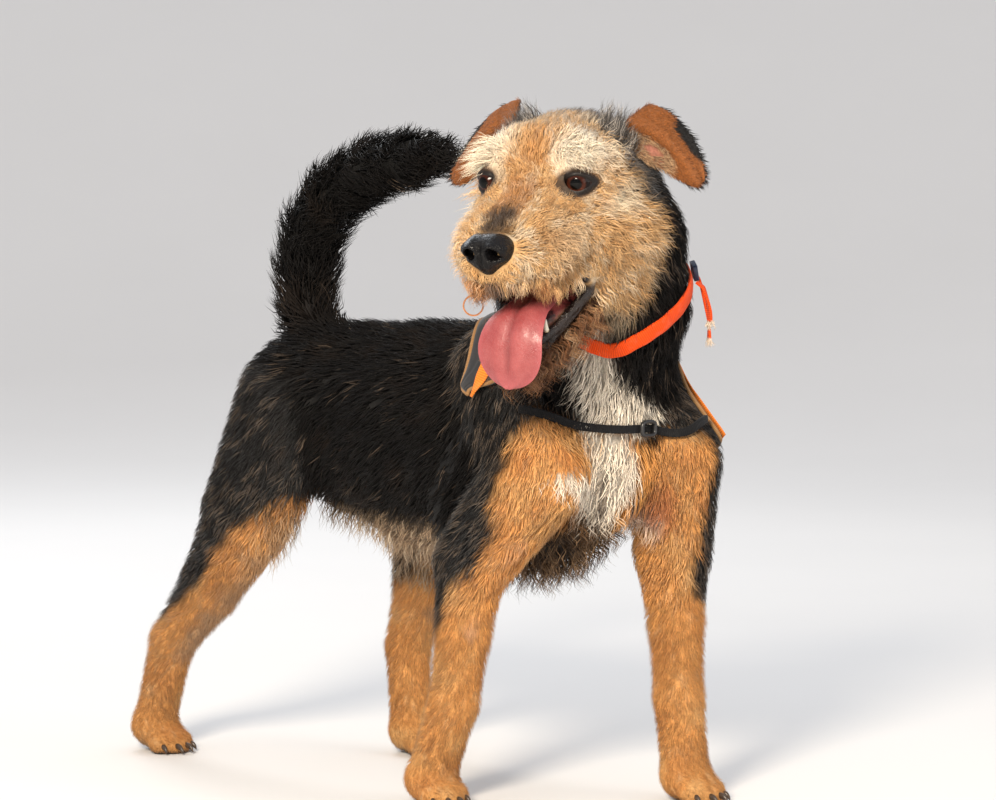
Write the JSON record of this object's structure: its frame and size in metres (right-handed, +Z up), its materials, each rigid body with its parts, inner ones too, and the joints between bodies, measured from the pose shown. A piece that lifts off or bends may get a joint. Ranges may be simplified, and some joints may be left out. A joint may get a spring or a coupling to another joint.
{
  "type": "standing terrier dog with collar and harness",
  "caption": "Life-size still model of a rough-coated black and tan terrier, standing with its head turned, mouth open, wearing a collar and a padded yoke harness.",
  "frame": {"origin": "floor level, under the middle of the whole animal's bounding box", "axes": "+Z up; the trunk and forehand face -Y; the animal's left side is +X"},
  "size_m": [0.2768, 0.5582, 0.5134],
  "materials": {
    "black_coat": "wavy black outer coat with brown and grey grizzle",
    "tan_coat": "tan wavy coat, paler on brows, beard and chest",
    "rust_coat": "short rust-coloured ear hair over thin skin",
    "nose_leather": "moist black pebbled nose pad",
    "tongue_flesh": "wet pink tongue with fine papillae",
    "eye": "wet dark brown eye",
    "orange_webbing": "woven fluorescent orange webbing",
    "blue_plastic": "dark blue moulded slider",
    "black_webbing": "woven black and charcoal webbing with padding",
    "black_plastic": "black moulded buckle"
  },
  "bodies": {
    "root": {"head": "tan_coat", "jaw": "tan_coat", "nose": "nose_leather", "tongue": "tongue_flesh", "eye_left": "eye", "eye_right": "eye", "ear_left": "rust_coat", "ear_right": "rust_coat", "neck": "black_coat", "tail_base": "black_coat", "tail_middle": "black_coat", "tail_tip": "black_coat", "trunk": "black_coat", "fore_left_upper": "tan_coat", "fore_left_lower": "tan_coat", "fore_left_paw": "tan_coat", "fore_right_upper": "tan_coat", "fore_right_lower": "tan_coat", "fore_right_paw": "tan_coat", "hind_left_upper": "black_coat", "hind_left_lower": "tan_coat", "hind_left_paw": "tan_coat", "hind_right_upper": "black_coat", "hind_right_lower": "tan_coat", "hind_right_paw": "tan_coat", "collar": "orange_webbing", "collar_slider": "blue_plastic", "collar_end_long": "orange_webbing", "collar_end_short": "orange_webbing", "harness_yoke": "black_webbing", "harness_stripe_right": "orange_webbing", "harness_stripe_left": "orange_webbing", "harness_chest_strap": "black_webbing", "harness_chest_ring": "black_plastic", "harness_girth": "black_webbing", "harness_girth_buckle": "black_plastic"}
  },
  "joints": []
}
